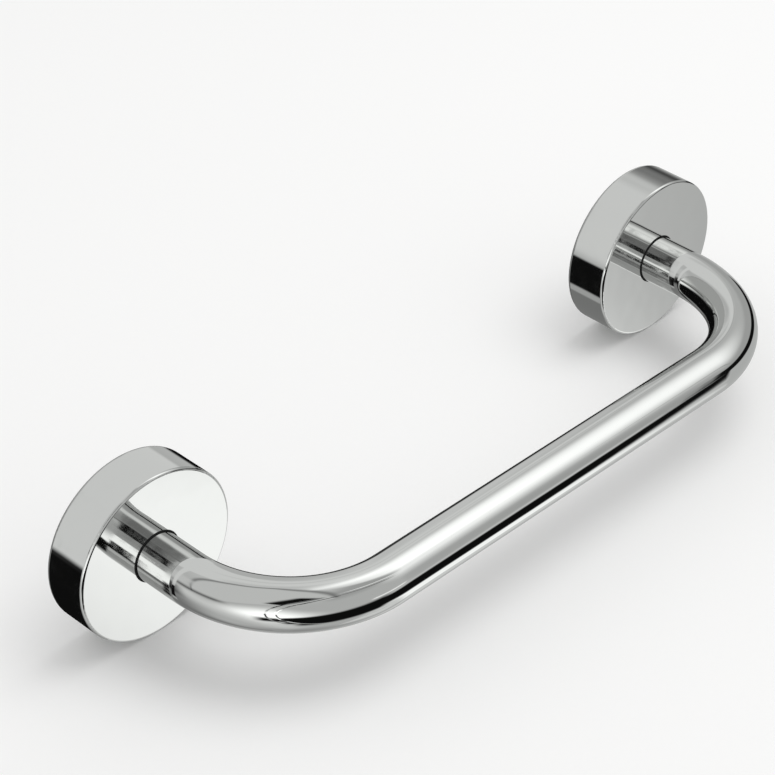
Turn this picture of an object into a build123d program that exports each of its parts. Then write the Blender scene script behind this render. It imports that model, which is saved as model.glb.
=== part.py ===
"""A chrome grab bar for a bath or shower wall, in millimetres.

One tube, bent twice, ends in two round rosettes. Each rosette is a hollow casting that slips over a plate
screwed to the wall, and a grub screw from below holds it there. A screw from behind pulls the tube into the
rosette's socket, where a black ring seals the joint.

The wall is the plane y = 0 and the bar stands off it towards -Y. X runs along the bar and Z is up, with the
origin on the wall, midway between the rosettes.
"""

import os

from build123d import *

# Bent tube
fixing_spacing = 300.0  # between the axes of the two rosettes
bar_projection = 92.0  # from the wall to the axis of the bar
bend_radius = 54.0  # of the tube's centre line
tube_diameter = 21.3
tube_wall = 1.5

# Rosette casting
rosette_diameter = 75.0
rosette_depth = 20.5
face_wall = 4.0
side_wall = 4.0
front_edge_radius = 1.1
back_edge_radius = 1.8
casting_radius = 1.0  # in the corners of the cavity
socket_depth = 6.5  # from the face to the floor that the tube stands on
socket_floor = 3.7
boss_wall = 5.0  # round the socket
rib_count = 6
rib_thickness = 3.0
rib_gap = 1.5  # between the ribs and the wall plate

# Seal ring
seal_wall = 0.6
seal_depth = 2.5  # below the rosette's face
seal_proud = 0.3  # above the rosette's face
seal_edge_radius = 0.3

# Insert in each end of the tube
insert_length = 18.0
insert_chamfer = 0.8
bond_groove_count = 2
bond_groove_width = 1.5
bond_groove_depth = 0.6

# Clamp screw and its split washer
clamp_thread = 8.0
clamp_engagement = 11.0  # of the thread in the insert
clamp_head_diameter = 13.0
clamp_head_height = 5.0
clamp_key = 5.0  # across the flats of the hexagon socket
clamp_key_depth = 3.0
clamp_edge = 0.5  # chamfer on the head and the thread's end
washer_diameter = 14.8
washer_thickness = 2.0
washer_slit = 1.5
washer_slit_angle = 20.0

# Wall plate
wall_screw_spacing = 44.0
wall_screw_hole = 5.5
wall_screw_head = 10.5
wall_screw_angle = 90.0  # of the countersinks
groove_depth = 1.5
plate_chamfer = 1.0
head_room = 4.0  # round the washer in the plate's opening

# Grub screw
grub_thread = 5.0
grub_tip = 1.2  # flat on the cone point
grub_sink = 0.6  # below the side of the rosette
grub_key = 2.5
grub_key_depth = 2.0

hexagon_sides = 6  # of both key sockets

# Clearances, each on one side
socket_clearance = 0.1  # tube in socket
fit_clearance = 0.05  # seal ring, insert and threads
screw_clearance = 0.5  # clamp screw in the socket's floor
plate_clearance = 0.3  # wall plate in the cavity
point_clearance = 0.15  # grub screw in the groove

# Radii and heights above the wall that several pieces share
tube_radius = tube_diameter / 2
tube_bore_radius = tube_radius - tube_wall
rosette_radius = rosette_diameter / 2
cavity_radius = rosette_radius - side_wall
cavity_height = rosette_depth - face_wall
socket_radius = tube_radius + socket_clearance
floor_height = rosette_depth - socket_depth
boss_height = floor_height - socket_floor
seal_bore_radius = tube_radius + fit_clearance
seal_radius = seal_bore_radius + seal_wall
seal_seat_radius = seal_radius + fit_clearance
seal_seat_height = rosette_depth - seal_depth
boss_radius = seal_seat_radius + boss_wall
floor_hole_radius = clamp_thread / 2 + screw_clearance
plate_thickness = boss_height - plate_clearance
plate_radius = cavity_radius - plate_clearance
groove_height = plate_thickness / 2
groove_radius = plate_radius - groove_depth
washer_height = boss_height - washer_thickness
head_height = washer_height - clamp_head_height


def wall_frame(side):
    """Plane on the wall at one rosette, with its x along the bar, its y up and its z out of the wall."""
    return Plane(origin=(side * fixing_spacing / 2, 0, 0), x_dir=(1, 0, 0), z_dir=(0, -1, 0))


def section_frame(wall):
    """Plane for profiles turned about the rosette's axis: x is the radius, y the height off the wall."""
    return Plane(origin=wall.origin, x_dir=wall.x_dir, z_dir=-wall.y_dir)


def turning_axis(wall):
    """The rosette's axis, out of the wall."""
    return Axis(wall.origin, wall.z_dir)


def make_tube():
    """The bar and both legs: a round tube swept along two straight legs, two bends and the straight bar."""
    half_spacing = fixing_spacing / 2
    with BuildPart() as tube:
        with BuildLine() as centre_line:
            FilletPolyline(
                (-half_spacing, -floor_height),
                (-half_spacing, -bar_projection),
                (half_spacing, -bar_projection),
                (half_spacing, -floor_height),
                radius=bend_radius,
            )
        with BuildSketch(Plane(origin=centre_line.line @ 0, z_dir=centre_line.line % 0)):
            Circle(tube_radius)
            Circle(tube_bore_radius, mode=Mode.SUBTRACT)
        sweep(path=centre_line.line)
    return tube.part


def make_rosette(wall):
    """Hollow cup with a stepped socket for tube and seal, ribs behind its face and a tapped hole below."""
    with BuildPart() as rosette:
        with BuildSketch(section_frame(wall)):
            with BuildLine():
                Polyline(
                    (cavity_radius, 0),
                    (rosette_radius, 0),
                    (rosette_radius, rosette_depth),
                    (seal_seat_radius, rosette_depth),
                    (seal_seat_radius, seal_seat_height),
                    (socket_radius, seal_seat_height),
                    (socket_radius, floor_height),
                    (floor_hole_radius, floor_height),
                    (floor_hole_radius, boss_height),
                    (boss_radius, boss_height),
                    (boss_radius, cavity_height),
                    (cavity_radius, cavity_height),
                    close=True,
                )
            make_face()
        revolve(axis=turning_axis(wall))

        outer_edges = rosette.edges().filter_by(GeomType.CIRCLE).sort_by(SortBy.RADIUS)[-2:].sort_by(Axis.Y)
        fillet(outer_edges[0], front_edge_radius)
        fillet(outer_edges[-1], back_edge_radius)
        cavity_floor = rosette.faces().filter_by(Axis.Y).filter_by_position(
            Axis.Y, -cavity_height, -cavity_height
        )
        fillet(cavity_floor.edges().filter_by(GeomType.CIRCLE), casting_radius)

        rib_foot = (boss_radius + cavity_radius) / 2
        rib_reach = cavity_radius - boss_radius + side_wall
        with BuildSketch(wall.offset(plate_thickness + rib_gap)):
            with PolarLocations(rib_foot, rib_count):
                Rectangle(rib_reach, rib_thickness)
        extrude(amount=cavity_height - plate_thickness - rib_gap)

        hole_foot = wall.from_local_coords((0, 0, groove_height))
        with BuildSketch(Plane(hole_foot, x_dir=wall.x_dir, z_dir=-wall.y_dir)):
            Circle(grub_thread / 2 + fit_clearance)
        extrude(amount=rosette_radius, mode=Mode.SUBTRACT)
    return rosette.part


def make_seal_ring(wall):
    """Thin black sleeve in the mouth of the socket, with a rounded lip that stands proud of the face."""
    with BuildPart() as ring:
        with BuildSketch(wall.offset(seal_seat_height)):
            Circle(seal_radius)
            Circle(seal_bore_radius, mode=Mode.SUBTRACT)
        extrude(amount=seal_depth + seal_proud)
        lip = ring.faces().sort_by(Axis.Y)[0].edges().sort_by(SortBy.RADIUS)[-1]
        fillet(lip, seal_edge_radius)
    return ring.part


def make_end_insert(wall):
    """Turned plug bonded in the tube's end, with adhesive grooves and a tapped hole right through."""
    insert_radius = tube_bore_radius - fit_clearance
    with BuildPart() as insert:
        with BuildSketch(wall.offset(floor_height)):
            Circle(insert_radius)
            Circle(clamp_thread / 2 + fit_clearance, mode=Mode.SUBTRACT)
        extrude(amount=insert_length)
        chamfer(insert.faces().filter_by(Axis.Y).edges(), insert_chamfer)

        groove_pitch = insert_length / (bond_groove_count + 1)
        for groove in range(bond_groove_count):
            middle = floor_height + groove_pitch * (groove + 1)
            with BuildSketch(wall.offset(middle - bond_groove_width / 2)):
                Circle(insert_radius)
                Circle(insert_radius - bond_groove_depth, mode=Mode.SUBTRACT)
            extrude(amount=bond_groove_width, mode=Mode.SUBTRACT)
    return insert.part


def make_clamp_screw(wall):
    """Low-head socket screw from the cavity through the socket's floor into the insert."""
    thread_end = floor_height + clamp_engagement
    with BuildPart() as screw:
        with BuildSketch(section_frame(wall)):
            with BuildLine():
                Polyline(
                    (0, head_height),
                    (clamp_head_diameter / 2 - clamp_edge, head_height),
                    (clamp_head_diameter / 2, head_height + clamp_edge),
                    (clamp_head_diameter / 2, washer_height),
                    (clamp_thread / 2, washer_height),
                    (clamp_thread / 2, thread_end - clamp_edge),
                    (clamp_thread / 2 - clamp_edge, thread_end),
                    (0, thread_end),
                    close=True,
                )
            make_face()
        revolve(axis=turning_axis(wall))

        with BuildSketch(wall.offset(head_height)):
            RegularPolygon(clamp_key / 2, hexagon_sides, major_radius=False)
        extrude(amount=clamp_key_depth, mode=Mode.SUBTRACT)
    return screw.part


def make_lock_washer(wall):
    """Split spring washer, pressed flat between the screw's head and the boss."""
    with BuildPart() as washer:
        with BuildSketch(wall.offset(washer_height)):
            Circle(washer_diameter / 2)
            Circle(clamp_thread / 2 + fit_clearance, mode=Mode.SUBTRACT)
        extrude(amount=washer_thickness)

        slit_middle = wall.from_local_coords((0, 0, washer_height + washer_thickness / 2))
        slit_normal = wall.x_dir.rotate(Axis((0, 0, 0), wall.y_dir), washer_slit_angle)
        with BuildSketch(Plane(slit_middle, x_dir=wall.y_dir, z_dir=slit_normal)):
            with Locations((washer_diameter / 2, 0)):
                Rectangle(washer_diameter, washer_diameter)
        extrude(amount=washer_slit / 2, both=True, mode=Mode.SUBTRACT)
    return washer.part


def make_wall_plate(wall):
    """Plate screwed to the wall, with a grooved rim for the grub screw and room for the clamp screw."""
    opening_radius = washer_diameter / 2 + head_room
    groove_floor = grub_tip / 2 + point_clearance
    groove_mouth = groove_floor + groove_depth
    with BuildPart() as plate:
        with BuildSketch(section_frame(wall)):
            with BuildLine():
                Polyline(
                    (opening_radius, 0),
                    (plate_radius, 0),
                    (plate_radius, groove_height - groove_mouth),
                    (groove_radius, groove_height - groove_floor),
                    (groove_radius, groove_height + groove_floor),
                    (plate_radius, groove_height + groove_mouth),
                    (plate_radius, plate_thickness - plate_chamfer),
                    (plate_radius - plate_chamfer, plate_thickness),
                    (opening_radius, plate_thickness),
                    close=True,
                )
            make_face()
        revolve(axis=turning_axis(wall))

        with Locations(wall.offset(plate_thickness)):
            with GridLocations(0, wall_screw_spacing, 1, 2):
                CounterSinkHole(wall_screw_hole / 2, wall_screw_head / 2, counter_sink_angle=wall_screw_angle)
    return plate.part


def make_grub_screw(wall):
    """Cone-point set screw from the rosette's underside into the groove of the wall plate."""
    axis_foot = wall.from_local_coords((0, 0, groove_height))
    point = groove_radius + point_clearance
    cone_top = point + (grub_thread - grub_tip) / 2
    outer_end = rosette_radius - grub_sink
    with BuildPart() as grub:
        with BuildSketch(Plane(axis_foot, x_dir=wall.x_dir, z_dir=wall.z_dir)):
            with BuildLine():
                Polyline(
                    (0, -point),
                    (grub_tip / 2, -point),
                    (grub_thread / 2, -cone_top),
                    (grub_thread / 2, -outer_end),
                    (0, -outer_end),
                    close=True,
                )
            make_face()
        revolve(axis=Axis(axis_foot, wall.y_dir))

        with BuildSketch(Plane(axis_foot, x_dir=wall.x_dir, z_dir=-wall.y_dir).offset(outer_end)):
            RegularPolygon(grub_key / 2, hexagon_sides, major_radius=False)
        extrude(amount=-grub_key_depth, mode=Mode.SUBTRACT)
    return grub.part


def write_piece(piece, name):
    """Label a finished piece and write it to its own file."""
    piece.label = name
    export_step(piece, f"parts/{name}.step")


end_pieces = {
    "rosette": make_rosette,
    "seal_ring": make_seal_ring,
    "end_insert": make_end_insert,
    "clamp_screw": make_clamp_screw,
    "lock_washer": make_lock_washer,
    "wall_plate": make_wall_plate,
    "grub_screw": make_grub_screw,
}

os.makedirs("parts", exist_ok=True)
write_piece(make_tube(), "bar_tube")
for end, side in (("left", -1), ("right", 1)):
    for piece_name, make_piece in end_pieces.items():
        write_piece(make_piece(wall_frame(side)), f"{end}_{piece_name}")
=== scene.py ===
"""Studio picture of a chrome grab bar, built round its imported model.

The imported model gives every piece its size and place, in metres: the wall is the plane y = 0, the bar
stands off it towards -Y, X runs along the bar and Z is up. This script gives every node its finish, puts
a finer surface of the same form in the place of the bent tube, and sets up the floor, the studio that the
chrome mirrors and the camera.
"""

import logging
import math
from dataclasses import dataclass, field
from enum import Enum

import bpy
import numpy as np
from mathutils import Matrix, Vector


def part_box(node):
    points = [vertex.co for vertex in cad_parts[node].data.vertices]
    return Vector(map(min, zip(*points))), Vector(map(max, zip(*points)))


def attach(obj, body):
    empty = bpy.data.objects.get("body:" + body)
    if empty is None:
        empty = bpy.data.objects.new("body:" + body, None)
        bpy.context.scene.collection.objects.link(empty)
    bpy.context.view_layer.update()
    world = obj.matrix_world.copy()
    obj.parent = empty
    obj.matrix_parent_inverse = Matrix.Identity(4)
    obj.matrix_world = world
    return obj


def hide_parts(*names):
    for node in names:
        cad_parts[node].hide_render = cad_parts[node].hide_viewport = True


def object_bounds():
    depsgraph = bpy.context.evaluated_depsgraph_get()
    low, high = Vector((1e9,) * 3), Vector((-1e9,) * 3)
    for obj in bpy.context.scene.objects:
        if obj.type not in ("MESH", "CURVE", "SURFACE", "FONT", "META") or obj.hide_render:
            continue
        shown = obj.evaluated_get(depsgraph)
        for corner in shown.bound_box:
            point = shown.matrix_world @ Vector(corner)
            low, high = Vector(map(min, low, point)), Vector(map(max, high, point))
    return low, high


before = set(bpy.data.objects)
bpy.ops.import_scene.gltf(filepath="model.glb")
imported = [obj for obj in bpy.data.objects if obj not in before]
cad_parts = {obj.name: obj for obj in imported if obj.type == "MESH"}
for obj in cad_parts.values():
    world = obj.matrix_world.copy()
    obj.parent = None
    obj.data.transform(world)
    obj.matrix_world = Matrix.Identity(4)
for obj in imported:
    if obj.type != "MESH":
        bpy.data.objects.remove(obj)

CAD_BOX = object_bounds()
BODY = "root"
LOG = logging.getLogger("grab_bar")

Pair = tuple[float, float]
Colour = tuple[float, float, float]
Socket = bpy.types.NodeSocket

PURE_WHITE = (1.0, 1.0, 1.0, 1.0)
# Half a turn in degrees, where azimuth and roll start again from the other side.
HALF_TURN = 180.0
# The stretch that holds most values of a cloudy noise.
NOISE_SPREAD: Pair = (0.3, 0.7)


class End(Enum):
    """The two ends of the bar."""

    LEFT = "left"
    RIGHT = "right"

    def node(self, piece: str) -> str:
        """Name of this end's node of a piece."""
        return f"{self.value}_{piece}"


class Bench:
    """Adds nodes to one node tree and joins them."""

    def __init__(self, tree: bpy.types.NodeTree) -> None:
        """Start from an empty tree.

        Args:
            tree: The tree that the nodes go into; what it holds is cleared.
        """
        self.tree = tree
        tree.nodes.clear()

    def add(self, kind: str, inputs: dict | None = None, **settings: object) -> bpy.types.Node:
        """Add a node, set it up and feed its inputs.

        Args:
            kind: Blender's name for the node type, without its "ShaderNode" start.
            inputs: Value or feeding socket for each input, by name or number.
            **settings: Properties of the node itself.

        Returns:
            The new node.
        """
        node = self.tree.nodes.new(kind if kind.startswith("NodeGroup") else f"ShaderNode{kind}")
        for name, value in settings.items():
            setattr(node, name, value)
        for key, value in (inputs or {}).items():
            if isinstance(value, Socket):
                self.tree.links.new(value, node.inputs[key])
            else:
                node.inputs[key].default_value = value
        return node

    def math(self, operation: str, *values: float | Socket) -> Socket:
        """Result of a Math node on the given values.

        Args:
            operation: Blender's name for the operation.
            *values: Numbers or sockets, in the node's order.

        Returns:
            The result's socket.
        """
        return self.add("Math", dict(enumerate(values)), operation=operation).outputs[0]

    def length(self, vector: Socket) -> Socket:
        """Length of a vector."""
        return self.add("VectorMath", {0: vector}, operation="LENGTH").outputs["Value"]

    def ramp(self, value: Socket, start: float, end: float, low: float, high: float) -> Socket:
        """Take a value's stretch from start to end smoothly to a stretch from low to high.

        Args:
            value: The value to read.
            start: Where the result is low.
            end: Where the result is high.
            low: Result at and before the start.
            high: Result at and after the end.

        Returns:
            The result's socket.
        """
        ends = {"Value": value, "From Min": start, "From Max": end, "To Min": low, "To Max": high}
        return self.add("MapRange", ends, interpolation_type="SMOOTHSTEP").outputs["Result"]

    def noise(self, place: Socket, size: float, detail: float = 2.0) -> Socket:
        """Cloudy noise from 0 to 1.

        Args:
            place: Coordinates in metres.
            size: About the width of one cloud, in metres.
            detail: Number of finer layers.

        Returns:
            The noise's socket.
        """
        return self.add("TexNoise", {"Vector": place, "Scale": 1.0 / size, "Detail": detail}).outputs[0]

    def lines(self, along: Socket, size: float, detail: float = 3.0) -> Socket:
        """Uneven parallel lines, as a lathe tool leaves them: noise that changes in one direction only.

        Args:
            along: Distance across the lines, in metres.
            size: About the width of one line, in metres.
            detail: Number of finer layers.

        Returns:
            The noise's socket, from 0 to 1.
        """
        fine = {"W": along, "Scale": 1.0 / size, "Detail": detail}
        return self.add("TexNoise", fine, noise_dimensions="1D").outputs[0]

    def bump(self, pattern: Socket, strength: float, height: float) -> Socket:
        """Surface direction, bent by the slopes of a pattern.

        Args:
            pattern: The pattern, from 0 to 1.
            strength: How much of the bending shows, from 0 to 1.
            height: Height of the pattern's 1 over its 0, in metres.

        Returns:
            The direction's socket.
        """
        relief = {"Height": pattern, "Strength": strength, "Distance": height}
        return self.add("Bump", relief).outputs[0]

    def mix(self, share: Socket, first: Colour, second: Colour) -> Socket:
        """Colour between two colours.

        Args:
            share: 0 for the first colour, 1 for the second.
            first: The first colour.
            second: The second colour.

        Returns:
            The colour's socket.
        """
        node = self.add("Mix", data_type="RGBA")
        colours = [socket for socket in node.inputs if socket.type == "RGBA"]
        self.tree.links.new(share, node.inputs[0])
        colours[0].default_value = (*first, 1.0)
        colours[1].default_value = (*second, 1.0)
        return next(socket for socket in node.outputs if socket.type == "RGBA")


def new_material(name: str) -> tuple[bpy.types.Material, Bench, Socket]:
    """Make an empty material that reads Object coordinates.

    Args:
        name: Name of the material.

    Returns:
        The material, the bench for its nodes, and the coordinates' socket.
    """
    made = bpy.data.materials.new(name)
    made.use_nodes = True
    bench = Bench(made.node_tree)
    return made, bench, bench.add("TexCoord").outputs["Object"]


@dataclass(frozen=True)
class Finish:
    """What all finishes share: the record's slot and the way that a surface is put together."""

    slot: str

    def shade(self, bench: Bench, place: Socket) -> dict:
        """Work out the surface shader's inputs from the place on the piece.

        Args:
            bench: Where the nodes go.
            place: Object coordinates, in metres.

        Returns:
            Value or socket for each shader input.
        """
        raise NotImplementedError

    def material(self) -> bpy.types.Material:
        """Make the finish's material.

        Returns:
            The material, named after the slot.
        """
        made, bench, place = new_material(f"{self.slot}_finish")
        surface = bench.add("BsdfPrincipled", self.shade(bench, place))
        bench.add("OutputMaterial", {"Surface": surface.outputs[0]})
        return made


@dataclass(frozen=True)
class ChromePlate(Finish):
    """Mirror chrome over buffed metal: faint ripples, fine buffing haze and a smoky tone in places."""

    slot: str = "chrome_plate"
    clear: Colour = (0.785, 0.790, 0.780)
    smoky: Colour = (0.765, 0.770, 0.765)
    cloud_size: float = 0.03
    roughness: Pair = (0.025, 0.05)
    haze_size: float = 0.004
    ripple_size: float = 0.009
    ripple_height: float = 0.00002
    ripple_detail: float = 0.0
    bump_strength: float = 1.0

    def shade(self, bench: Bench, place: Socket) -> dict:
        """Bend the mirror image by the ripples and dull it a little by the haze.

        Args:
            bench: Where the nodes go.
            place: Object coordinates, in metres.

        Returns:
            Value or socket for each shader input.
        """
        clouds = bench.noise(place, self.cloud_size)
        haze = bench.noise(place, self.haze_size)
        ripples = bench.noise(place, self.ripple_size, self.ripple_detail)
        return {
            "Base Color": bench.mix(clouds, self.clear, self.smoky),
            "Metallic": 1.0,
            "Roughness": bench.ramp(haze, *NOISE_SPREAD, *self.roughness),
            "Normal": bench.bump(ripples, self.bump_strength, self.ripple_height),
        }


@dataclass(frozen=True)
class BlackSeal(Finish):
    """Black rubber with a moulded grain and paler rubbed patches."""

    slot: str = "black_seal"
    deep: Colour = (0.004, 0.004, 0.0045)
    rubbed: Colour = (0.011, 0.011, 0.011)
    roughness: Pair = (0.5, 0.7)
    specular: float = 0.2
    grain_size: float = 0.0004
    grain_height: float = 0.00003
    patch_size: float = 0.003
    bump_strength: float = 0.6

    def shade(self, bench: Bench, place: Socket) -> dict:
        """Take the bump from the grain, and the colour and gloss from the patches.

        Args:
            bench: Where the nodes go.
            place: Object coordinates, in metres.

        Returns:
            Value or socket for each shader input.
        """
        grain = bench.noise(place, self.grain_size)
        patches = bench.noise(place, self.patch_size)
        return {
            "Base Color": bench.mix(patches, self.deep, self.rubbed),
            "Roughness": bench.ramp(patches, *NOISE_SPREAD, *self.roughness),
            "Specular IOR Level": self.specular,
            "Normal": bench.bump(grain, self.bump_strength, self.grain_height),
        }


@dataclass(frozen=True)
class TurnedMetal(Finish):
    """Metal off the lathe: fine rings about the nearest rosette's axis, over a cloudy tone."""

    light: Colour
    dark: Colour
    roughness: Pair
    half_spacing: float
    ring_size: float = 0.0009
    ring_height: float = 0.00005
    ring_share: float = 0.75
    cloud_size: float = 0.006
    cloud_detail: float = 4.0
    bump_strength: float = 0.7

    def shade(self, bench: Bench, place: Socket) -> dict:
        """Draw rings that follow the radius plus the height, so that they show on faces and sides.

        Args:
            bench: Where the nodes go.
            place: Object coordinates, in metres.

        Returns:
            Value or socket for each shader input.
        """
        parts = bench.add("SeparateXYZ", {0: place}).outputs
        across = bench.math("SUBTRACT", bench.math("ABSOLUTE", parts["X"]), self.half_spacing)
        flat = bench.add("CombineXYZ", {"X": across, "Z": parts["Z"]}).outputs[0]
        travel = bench.math("ADD", bench.length(flat), parts["Y"])
        rings = bench.lines(travel, self.ring_size)
        clouds = bench.noise(place, self.cloud_size, self.cloud_detail)
        cloud_part = bench.math("MULTIPLY", clouds, 1.0 - self.ring_share)
        tone = bench.math("MULTIPLY_ADD", rings, self.ring_share, cloud_part)
        return {
            "Base Color": bench.mix(tone, self.dark, self.light),
            "Metallic": 1.0,
            "Roughness": bench.ramp(tone, *NOISE_SPREAD, *self.roughness),
            "Normal": bench.bump(rings, self.bump_strength, self.ring_height),
        }


@dataclass(frozen=True)
class ZincSteel(Finish):
    """Bright zinc plating on steel: bluish, with a fine spangle and faint yellow patches."""

    slot: str = "screw_steel"
    blue: Colour = (0.56, 0.58, 0.61)
    yellow: Colour = (0.60, 0.585, 0.52)
    roughness: Pair = (0.24, 0.38)
    spangle_size: float = 0.0007
    spangle_spread: Pair = (0.1, 0.7)
    patch_size: float = 0.004
    patch_spread: Pair = (0.4, 0.75)
    pit_height: float = 0.00001
    bump_strength: float = 0.5

    def shade(self, bench: Bench, place: Socket) -> dict:
        """Colour the plating by the patches, and vary its gloss and bump by the spangle.

        Args:
            bench: Where the nodes go.
            place: Object coordinates, in metres.

        Returns:
            Value or socket for each shader input.
        """
        patches = bench.noise(place, self.patch_size)
        yellowed = bench.ramp(patches, *self.patch_spread, 0.0, 1.0)
        cells = {"Vector": place, "Scale": 1.0 / self.spangle_size}
        spangle = bench.add("TexVoronoi", cells).outputs["Distance"]
        return {
            "Base Color": bench.mix(yellowed, self.blue, self.yellow),
            "Metallic": 1.0,
            "Roughness": bench.ramp(spangle, *self.spangle_spread, *self.roughness),
            "Normal": bench.bump(spangle, self.bump_strength, self.pit_height),
        }


def closed_faces(rows: int, columns: int) -> np.ndarray:
    """Quads of a grid that is closed both ways: its last row meets the first, and so do its columns.

    Args:
        rows: Number of rows.
        columns: Points in each row.

    Returns:
        Four point numbers for each quad.
    """
    row, column = np.arange(rows)[:, None], np.arange(columns)[None, :]
    next_row, next_column = (row + 1) % rows, (column + 1) % columns
    corners = ((row, column), (row, next_column), (next_row, next_column), (next_row, column))
    return np.stack([r * columns + c for r, c in corners], axis=-1).reshape(-1, 4)


def add_piece(name: str, points: np.ndarray, faces: list, crease: float = 40.0) -> bpy.types.Object:
    """Make a mesh object of points and faces, smooth but for its creases.

    Args:
        name: Name of the piece.
        points: One row of X, Y and Z for each point, in metres.
        faces: Point numbers of each face.
        crease: Angle between faces, in degrees, from which their edge stays sharp.

    Returns:
        The object, at the origin, in the scene.
    """
    mesh = bpy.data.meshes.new(name)
    mesh.from_pydata(points.tolist(), [], faces)
    mesh.shade_smooth()
    mesh.set_sharp_from_angle(angle=math.radians(crease))
    mesh.update()
    piece = bpy.data.objects.new(name, mesh)
    bpy.context.scene.collection.objects.link(piece)
    return piece


def stand_for(piece: bpy.types.Object, node: str, material: bpy.types.Material) -> None:
    """Put a new piece in the place of a node, with its finish.

    Args:
        piece: The new piece.
        node: Name of the node that it replaces.
        material: That finish's material.
    """
    piece.data.materials.append(material)
    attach(piece, BODY)
    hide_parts(node)


@dataclass
class BentTube:
    """The bar and both legs, as one tube with open ends in the rosettes' sockets."""

    half_spacing: float
    projection: float
    end_height: float
    radius: float
    wall: float = 0.0015
    bend_radius: float = 0.054
    around: int = 96
    bend_steps: int = 48
    leg_steps: int = 6
    bar_steps: int = 24

    @classmethod
    def from_frame(cls) -> "BentTube":
        """Take the tube's size and place from its node.

        Returns:
            The tube.
        """
        low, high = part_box("bar_tube")
        radius = (high.z - low.z) / 2
        return cls(high.x - radius, -low.y - radius, -high.y, radius)

    def centre_line(self) -> tuple[np.ndarray, np.ndarray]:
        """Points and turning angles along the middle of the tube, from the left end to the right end.

        The tube turns by half a circle in all. At turning angle a its outer side looks along
        (-cos a, -sin a), so a bend's points are its centre plus the bend radius in that direction. The
        legs and the bar keep the angle of the bend that they meet and shift along the straight.

        Returns:
            Points in the plane of the bend, and the turning angle at each.
        """
        square, straight_back = np.pi / 2, np.pi
        bend = np.linspace(0.0, square, self.bend_steps + 1)
        leg_length = self.projection - self.bend_radius - self.end_height
        leg = np.linspace(leg_length, 0.0, self.leg_steps + 1)[:-1]
        half_bar = self.half_spacing - self.bend_radius
        bar = np.linspace(-half_bar, half_bar, self.bar_steps + 1)[1:-1]

        angle = np.concatenate([0 * leg, bend, 0 * bar + square, bend + square, 0 * leg + straight_back])
        left_x = np.full(len(leg) + len(bend), -half_bar)
        centre_x = np.concatenate([left_x, bar, -left_x])
        back = np.concatenate([leg, 0 * bend, 0 * bar, 0 * bend, leg[::-1]])
        x = centre_x - self.bend_radius * np.cos(angle)
        y = -(self.projection - self.bend_radius) - self.bend_radius * np.sin(angle) + back
        return np.stack([x, y], axis=-1), angle

    def surface(self) -> np.ndarray:
        """Points of the tube's skin: out along the outer wall, back along the bore.

        A point is the centre line's point plus the wall's radius times (cos t, sin t), where the first
        direction is the outer side of the bend and the second is up.

        Returns:
            Grid of points, rows along the tube and columns round it; both close on themselves.
        """
        middle, angle = self.centre_line()
        middle = np.concatenate([middle, middle[::-1]])
        angle = np.concatenate([angle, angle[::-1]])
        reach = np.repeat([self.radius, self.radius - self.wall], len(angle) // 2)[:, None]
        turn = np.linspace(0.0, 2 * np.pi, self.around, endpoint=False)[None, :]
        sideways = reach * np.cos(turn)
        x = middle[:, :1] - sideways * np.cos(angle)[:, None]
        y = middle[:, 1:] - sideways * np.sin(angle)[:, None]
        z = np.broadcast_to(reach * np.sin(turn), x.shape)
        return np.stack([x, y, z], axis=-1)

    def build(self, finish: Finish, material: bpy.types.Material) -> bpy.types.Object:
        """Make the tube's piece and dress it.

        Args:
            finish: Finish of the tube; not used.
            material: That finish's material.

        Returns:
            The piece.
        """
        grid = self.surface()
        faces = closed_faces(*grid.shape[:2])
        piece = add_piece("bent_tube", grid.reshape(-1, 3), faces.tolist())
        stand_for(piece, "bar_tube", material)
        return piece


class Tone(Enum):
    """Brightness of the studio's surfaces, where 1 is the white of the background."""

    LAMP = 1.4
    WHITE = 1.15
    PALE = 0.7
    SOFT = 0.6
    GREY = 0.4
    DIM = 0.2
    BLACK = 0.005


class Compass(Enum):
    """Ways of giving a direction from the bar: two angles in degrees, or two slopes overhead."""

    UPRIGHT = "azimuth, 0 away from the wall and 90 along +X, and elevation above the horizon"
    OVERHEAD = "steps along +X and steps towards the wall, both for one step up"
    COLLAR = "roll about the wall's normal, 0 along +X and 90 up, and angle from the normal"


@dataclass(frozen=True)
class StudioCard:
    """A surface of the studio with soft edges, in the units of its compass; its lean is in degrees."""

    name: str
    compass: Compass
    centre: Pair
    half_size: Pair
    softness: Pair
    tone: Tone
    lean: float = 0.0


def panel(
    name: str, centre: Pair, half_size: Pair, softness: float, tone: Tone, lean: float = 0.0
) -> StudioCard:
    """A panel that stands round the bar, placed by azimuth and elevation."""
    return StudioCard(name, Compass.UPRIGHT, centre, half_size, (softness, softness), tone, lean)


def overhead(
    name: str, centre: Pair, half_size: Pair, softness: float, tone: Tone, lean: float
) -> StudioCard:
    """A panel that hangs level above the bar, placed by steps for one step up."""
    return StudioCard(name, Compass.OVERHEAD, centre, half_size, (softness, softness), tone, lean)


@dataclass(frozen=True)
class Arc:
    """A stretch of a collar from one roll to another, with soft ends, in degrees."""

    start: float
    end: float
    softness: float
    tone: Tone


@dataclass(frozen=True)
class Collar:
    """A narrow ring of directions about the wall's normal, in degrees.

    A leg, a leg's image in its rosette's face and a rosette's side each mirror one such ring.
    """

    name: str
    angle: float
    half_thickness: float
    softness: float
    arcs: tuple[Arc, ...]

    def cards(self) -> list[StudioCard]:
        """Lay the collar's arcs as cards.

        Returns:
            One card for each arc, in order.
        """
        return [
            StudioCard(
                f"{self.name}, {arc.tone.name.lower()} from {arc.start}",
                Compass.COLLAR,
                ((arc.start + arc.end) / 2, self.angle),
                ((arc.end - arc.start) / 2, self.half_thickness),
                (arc.softness, self.softness),
                arc.tone,
            )
            for arc in self.arcs
        ]


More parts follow.
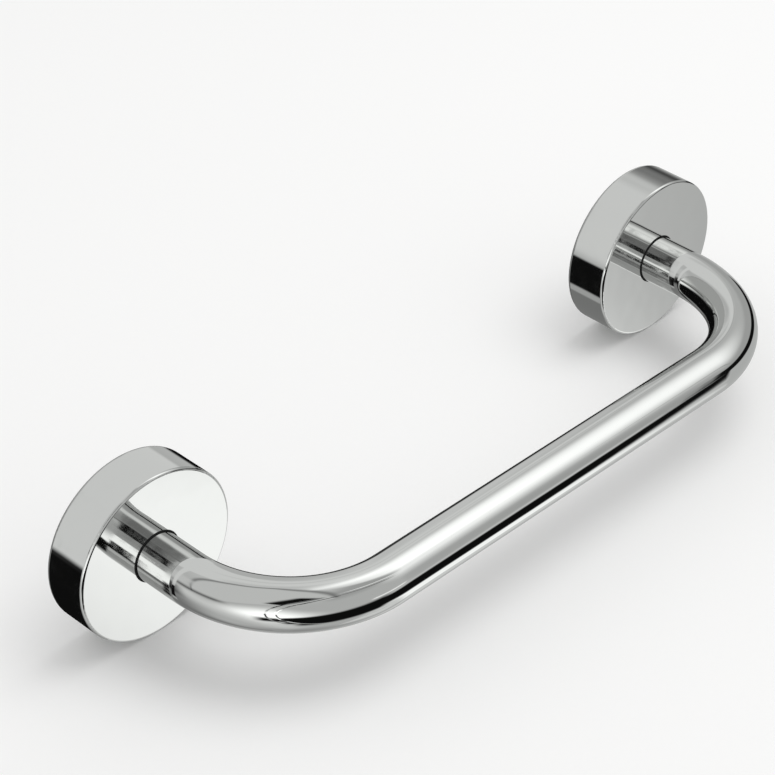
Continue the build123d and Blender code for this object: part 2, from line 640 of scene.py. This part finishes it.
@dataclass(frozen=True)
class Surroundings:
    """What the chrome mirrors, what lights the matt surfaces and what the camera sees behind the floor."""

    tint: Colour = (0.988, 1.0, 0.986)
    # Brightness of the studio's walls at each elevation in degrees.
    wall_tones: tuple[Pair, ...] = ((-90, 0.3), (-60, 0.5), (30, 0.5), (90, 0.65))
    ambient: float = 0.80
    # Directions that rise less count as rising by this, so that a level one has no endless slope.
    least_rise: float = 0.02
    panels: tuple[StudioCard, ...] = (
        panel("table glow", (60, -45), (45, 5), 3, Tone.PALE, lean=-25),
        panel("left reflector", (-85, -25), (60, 10), 18, Tone.PALE, lean=-40),
        panel("back wall", (165, 50), (40, 15), 3, Tone.PALE, lean=10),
        panel("right shade", (80, 12), (45, 12), 5, Tone.GREY),
        panel("back wall's edge", (140, 25), (2, 35), 6, Tone.PALE, lean=10),
        panel("front reflector", (32, -38), (20, 32), 5, Tone.PALE, lean=15),
        panel("key softbox", (78, 55), (40, 15), 20, Tone.LAMP, lean=20),
        panel("left softbox", (-58, -8), (22, 20), 16, Tone.LAMP, lean=-45),
        panel("low softbox", (47, -40), (20, 6), 4, Tone.WHITE, lean=-30),
        panel("front flag's lit edge", (20, 1.5), (12, 1.5), 2.5, Tone.WHITE),
        panel("front flag", (-0.5, -25), (48.5, 14), 3, Tone.BLACK, lean=5),
        panel("front flag's foot", (-10, -30), (32, 20), 5, Tone.BLACK, lean=10),
        panel("front flag's end", (-50, -25), (16, 8), 5, Tone.BLACK),
        panel("right strip", (77, -1.5), (35, 6.5), 1, Tone.BLACK, lean=-8),
        panel("right strip's end", (43, -9), (3, 8), 2, Tone.BLACK, lean=-25),
        panel("high scrim", (17, 58), (35, 15), 8, Tone.GREY, lean=5),
        panel("back flag", (149, -21.5), (17.5, 16.5), 3.5, Tone.BLACK, lean=40),
        panel("back shade", (-165, -38), (45, 37), 20, Tone.DIM, lean=-35),
        overhead("ceiling panel's rim", (-2.83, 0.49), (3, 0.6), 0.04, Tone.DIM, lean=-15),
        overhead("ceiling panel", (-2.9, 0.45), (3, 0.6), 0.04, Tone.SOFT, lean=-15),
        overhead("ceiling flag", (-0.6, -0.58), (0.4, 0.15), 0.06, Tone.BLACK, lean=12),
        panel("far left wall", (-128, 28), (12, 12), 6, Tone.SOFT),
        panel("left shade", (-106, 12), (18, 3), 7, Tone.BLACK),
        panel("left corner", (-127, -12), (8, 15), 8, Tone.BLACK),
    )
    collars: tuple[Collar, ...] = (
        Collar("left leg's image in its rosette", 52.9, 0.55, 0.1, (
            Arc(14, 36, 4, Tone.GREY),
            Arc(54, 91, 6, Tone.DIM),
            Arc(92, 126, 3, Tone.BLACK),
            Arc(126, 152, 3, Tone.GREY),
            Arc(153, 180, 2, Tone.LAMP),
            Arc(-178, -146, 3, Tone.BLACK),
            Arc(-143, -125, 3, Tone.SOFT),
            Arc(-125, -98, 3, Tone.GREY),
        )),
        Collar("left leg", 53.9, 0.5, 0.1, (
            Arc(12, 32, 4, Tone.GREY),
            Arc(60, 116, 6, Tone.DIM),
            Arc(115, 142, 3, Tone.BLACK),
            Arc(143, 164, 3, Tone.GREY),
            Arc(165, 209, 3, Tone.LAMP),
            Arc(-150, -141, 2, Tone.DIM),
            Arc(-140, -125, 3, Tone.SOFT),
            Arc(-125, -70, 3, Tone.GREY),
        )),
        Collar("right leg and its image", 59.7, 0.7, 0.1, (
            Arc(55, 84, 8, Tone.WHITE),
            Arc(98, 131, 3, Tone.DIM),
            Arc(131, 152, 3, Tone.BLACK),
            Arc(153, 169, 3, Tone.GREY),
            Arc(170, 179, 3, Tone.WHITE),
            Arc(-180, -160, 2, Tone.BLACK),
            Arc(-159, -148, 3, Tone.GREY),
            Arc(-147, -126, 3, Tone.DIM),
            Arc(-124, -64, 3, Tone.GREY),
        )),
        Collar("left rosette's side", 127.5, 1.3, 0.3, (
            Arc(6, 191, 4, Tone.PALE),
            Arc(-163, -25, 3, Tone.BLACK),
        )),
        Collar("right rosette's side", 121.2, 1.2, 0.3, (
            Arc(63, 191, 20, Tone.PALE),
            Arc(-13, 15, 17, Tone.BLACK),
            Arc(7, 37, 20, Tone.DIM),
            Arc(48, 62, 8, Tone.SOFT),
            Arc(-116, -44, 3, Tone.DIM),
            Arc(-171, -126, 2, Tone.BLACK),
            Arc(-125, -115, 2, Tone.GREY),
        )),
    )

    def cards(self) -> list[StudioCard]:
        """All the studio's cards, in the order that they cover each other."""
        return [*self.panels, *(card for collar in self.collars for card in collar.cards())]

    def card_group(self) -> bpy.types.NodeTree:
        """Make the node group that lays one soft card over the surroundings behind it.

        The card's own direction is the compass direction less the card's centre, turned back by its lean.
        How far it lies outside the half sizes, against the softness, gives the card's share. The group
        takes plain numbers alone, because a long chain of vectors is more than the renderer holds for one
        shader.

        Returns:
            The group.
        """
        group = bpy.data.node_groups.new("soft_card", "ShaderNodeTree")
        bench = Bench(group)
        pairs = ("Direction", "Centre", "Half size", "Softness")
        for name in (*(f"{pair} {axis}" for pair in pairs for axis in "XY"), "Behind", "Lean", "Tone"):
            group.interface.new_socket(name, in_out="INPUT", socket_type="NodeSocketFloat")
        group.interface.new_socket("Brightness", in_out="OUTPUT", socket_type="NodeSocketFloat")
        given = bench.add("NodeGroupInput").outputs

        across = bench.math("SUBTRACT", given["Direction X"], given["Centre X"])
        across = bench.math("WRAP", across, HALF_TURN, -HALF_TURN)
        up = bench.math("SUBTRACT", given["Direction Y"], given["Centre Y"])
        cosine, sine = (bench.math(name, given["Lean"]) for name in ("COSINE", "SINE"))
        along = bench.math("MULTIPLY", cosine, across)
        along = bench.math("ADD", along, bench.math("MULTIPLY", sine, up))
        over = bench.math("MULTIPLY", cosine, up)
        over = bench.math("SUBTRACT", over, bench.math("MULTIPLY", sine, across))
        shares = []
        for axis, distance in (("X", along), ("Y", over)):
            beyond = bench.math("SUBTRACT", bench.math("ABSOLUTE", distance), given[f"Half size {axis}"])
            outside = bench.math("DIVIDE", beyond, given[f"Softness {axis}"])
            shares.append(bench.ramp(outside, 1.0, -1.0, 0.0, 1.0))
        share = bench.math("MULTIPLY", *shares)
        change = bench.math("SUBTRACT", given["Tone"], given["Behind"])
        brightness = bench.math("MULTIPLY_ADD", change, share, given["Behind"])
        bench.add("NodeGroupOutput", {"Brightness": brightness})
        return group

    def directions(self, bench: Bench) -> dict[Compass, tuple[Socket, Socket]]:
        """Work out each mirrored direction in all the compasses.

        Args:
            bench: Where the nodes go.

        Returns:
            The pair of numbers for each compass.
        """
        parts = bench.add("SeparateXYZ", {0: bench.add("TexCoord").outputs["Generated"]}).outputs
        forward = bench.math("MULTIPLY", parts["Y"], -1.0)
        azimuth = bench.math("DEGREES", bench.math("ARCTAN2", parts["X"], forward))
        elevation = bench.math("DEGREES", bench.math("ARCSINE", parts["Z"]))
        roll = bench.math("DEGREES", bench.math("ARCTAN2", parts["Z"], parts["X"]))
        angle = bench.math("DEGREES", bench.math("ARCCOSINE", forward))
        rise = bench.math("MAXIMUM", parts["Z"], self.least_rise)
        steps_along, steps_back = (bench.math("DIVIDE", parts[axis], rise) for axis in "XY")
        return {
            Compass.UPRIGHT: (azimuth, elevation),
            Compass.OVERHEAD: (steps_along, steps_back),
            Compass.COLLAR: (roll, angle),
        }

    def mirrored(self, bench: Bench) -> Socket:
        """Brightness of the surroundings in each direction: the walls, then the cards over them in order.

        Args:
            bench: Where the nodes go.

        Returns:
            The brightness's socket.
        """
        directions = self.directions(bench)
        elevation = directions[Compass.UPRIGHT][1]
        brightness: float | Socket = self.wall_tones[0][1]
        for (start, low), (end, high) in zip(self.wall_tones, self.wall_tones[1:]):
            rise = bench.ramp(elevation, start, end, 0.0, high - low)
            brightness = bench.math("ADD", brightness, rise)
        group = self.card_group()
        for card in self.cards():
            inputs = {"Behind": brightness, "Lean": math.radians(card.lean), "Tone": card.tone.value}
            pairs = {
                "Direction": directions[card.compass],
                "Centre": card.centre,
                "Half size": card.half_size,
                "Softness": card.softness,
            }
            for name, (x, y) in pairs.items():
                inputs |= {f"{name} X": x, f"{name} Y": y}
            laid = bench.add("Group", inputs, node_tree=group, label=card.name)
            brightness = laid.outputs["Brightness"]
        return brightness

    def build(self) -> None:
        """Set the world: white behind the floor, soft light on matt surfaces, the studio in the chrome."""
        world = bpy.data.worlds.new("studio")
        world.use_nodes = True
        bench = Bench(world.node_tree)
        ray = bench.add("LightPath").outputs
        white = bench.add("Background", {"Color": PURE_WHITE, "Strength": 1.0})
        light = bench.add("Background", {"Color": PURE_WHITE, "Strength": self.ambient})
        studio = bench.add("Background", {"Color": (*self.tint, 1.0), "Strength": self.mirrored(bench)})
        lit = bench.add("MixShader", {0: ray["Is Glossy Ray"], 1: light.outputs[0], 2: studio.outputs[0]})
        seen = bench.add("MixShader", {0: ray["Is Camera Ray"], 1: lit.outputs[0], 2: white.outputs[0]})
        bench.add("OutputWorld", {"Surface": seen.outputs[0]})
        bpy.context.scene.world = world


@dataclass(frozen=True)
class PaleFloor:
    """A plain pale floor under the rosettes that fades to white with distance."""

    height: float
    reach: float = 4.0
    tone: Colour = (0.915, 0.915, 0.91)
    speck: Colour = (0.905, 0.905, 0.90)
    speck_size: float = 0.002
    fade: Pair = (0.6, 2.4)

    def material(self) -> bpy.types.Material:
        """Make the floor's material: matt, seen from above only, and gone where it has faded.

        Returns:
            The material.
        """
        made, bench, place = new_material("pale_floor")
        colour = bench.mix(bench.noise(place, self.speck_size), self.tone, self.speck)
        matt = bench.add("BsdfDiffuse", {"Color": colour})
        gone = bench.add("BsdfTransparent")
        far = bench.ramp(bench.length(place), *self.fade, 0.0, 1.0)
        below = bench.add("NewGeometry").outputs["Backfacing"]
        hidden = bench.math("MAXIMUM", far, below)
        surface = bench.add("MixShader", {0: hidden, 1: matt.outputs[0], 2: gone.outputs[0]})
        bench.add("OutputMaterial", {"Surface": surface.outputs[0]})
        return made

    def build(self) -> bpy.types.Object:
        """Lay the floor; mirrored rays pass it, so that the chrome shows the studio below the horizon.

        Returns:
            The floor's object.
        """
        corner = self.reach * np.array([[-1, -1, 0], [1, -1, 0], [1, 1, 0], [-1, 1, 0]], float)
        corner[:, 2] = self.height
        floor = add_piece("studio_floor", corner, [(0, 1, 2, 3)])
        floor.data.materials.append(self.material())
        floor.visible_glossy = False
        return floor


@dataclass(frozen=True)
class OverheadLamp:
    """A broad soft lamp above the bar, for a gentle shadow on the floor."""

    place: tuple[float, float, float] = (0.5, -0.3, 1.6)
    width: float = 1.4
    power: float = 9.0

    def build(self) -> bpy.types.Object:
        """Hang the lamp, aimed at the bar; the chrome doesn't mirror it.

        Returns:
            The lamp's object.
        """
        light = bpy.data.lights.new("overhead_lamp", "AREA")
        light.shape = "DISK"
        light.size = self.width
        light.energy = self.power
        lamp = bpy.data.objects.new("overhead_lamp", light)
        lamp.location = self.place
        lamp.rotation_mode = "QUATERNION"
        lamp.rotation_quaternion = (-Vector(self.place)).to_track_quat("-Z", "Y")
        lamp.visible_glossy = False
        bpy.context.scene.collection.objects.link(lamp)
        return lamp


@dataclass(frozen=True)
class PhotoCamera:
    """The camera at the photograph's viewing angle. Angles are in degrees, lengths in metres."""

    heading: float = 46.55
    descent: float = 35.74
    roll: float = 1.29
    aim: tuple[float, float, float] = (-0.03624, -0.03195, 0.02796)
    distance: float = 1.0206
    focal_pixels: float = 2557.3
    image_pixels: float = 775.0
    # Width of the film in millimetres, as Blender counts it.
    sensor: float = 36.0

    def build(self) -> bpy.types.Object:
        """Make the scene's camera.

        Its forward direction is turned from +Y by the heading and down by the descent. Right is level,
        and then both right and up are rolled.

        Returns:
            The camera's object.
        """
        heading, descent, roll = (math.radians(angle) for angle in (self.heading, self.descent, self.roll))
        level = math.cos(descent)
        forward = Vector((math.sin(heading) * level, math.cos(heading) * level, -math.sin(descent)))
        right = Vector((math.cos(heading), -math.sin(heading), 0.0))
        up = right.cross(forward)
        rolled_right = right * math.cos(roll) + up * math.sin(roll)
        rolled_up = up * math.cos(roll) - right * math.sin(roll)

        lens = bpy.data.cameras.new("photo_camera")
        lens.sensor_width = self.sensor
        lens.lens = self.sensor * self.focal_pixels / self.image_pixels
        camera = bpy.data.objects.new("photo_camera", lens)
        camera.matrix_world = Matrix((rolled_right, rolled_up, -forward)).transposed().to_4x4()
        camera.location = Vector(self.aim) - forward * self.distance
        bpy.context.scene.collection.objects.link(camera)
        bpy.context.scene.camera = camera
        return camera


@dataclass
class EndFitting:
    """One end of the bar: the rosette, its seal and what holds them to the tube and the wall."""

    end: End
    finishes: dict[str, str] = field(
        default_factory=lambda: {
            "rosette": "chrome_plate",
            "seal_ring": "black_seal",
            "end_insert": "turned_brass",
            "clamp_screw": "screw_steel",
            "lock_washer": "screw_steel",
            "wall_plate": "plate_steel",
            "grub_screw": "screw_steel",
        }
    )

    def dress(self, materials: dict[str, bpy.types.Material]) -> None:
        """Give each of the end's nodes its finish.

        Args:
            materials: Each finish's material, by its slot.
        """
        for piece, slot in self.finishes.items():
            node = self.end.node(piece)
            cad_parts[node].material_slots[0].material = materials[slot]
            LOG.info("dressed %s in %s", node, slot)


def main() -> None:
    """Build every piece in order, then the studio round it."""
    logging.basicConfig(level=logging.INFO, format="%(name)s: %(message)s")
    tube = BentTube.from_frame()
    chrome = ChromePlate()
    brass = TurnedMetal(
        slot="turned_brass",
        light=(0.78, 0.61, 0.31),
        dark=(0.62, 0.46, 0.21),
        roughness=(0.22, 0.34),
        half_spacing=tube.half_spacing,
    )
    plate_steel = TurnedMetal(
        slot="plate_steel",
        light=(0.66, 0.665, 0.67),
        dark=(0.40, 0.405, 0.415),
        roughness=(0.28, 0.42),
        half_spacing=tube.half_spacing,
    )
    finishes = (chrome, BlackSeal(), brass, ZincSteel(), plate_steel)
    materials = {finish.slot: finish.material() for finish in finishes}

    tube.build(chrome, materials[chrome.slot])
    LOG.info("built the bent tube")
    for end in End:
        EndFitting(end).dress(materials)

    PaleFloor(height=CAD_BOX[0].z).build()
    OverheadLamp().build()
    Surroundings().build()
    PhotoCamera().build()
    bpy.context.scene.view_settings.view_transform = "Standard"
    LOG.info("set up the studio")


if __name__ == "__main__":
    main()
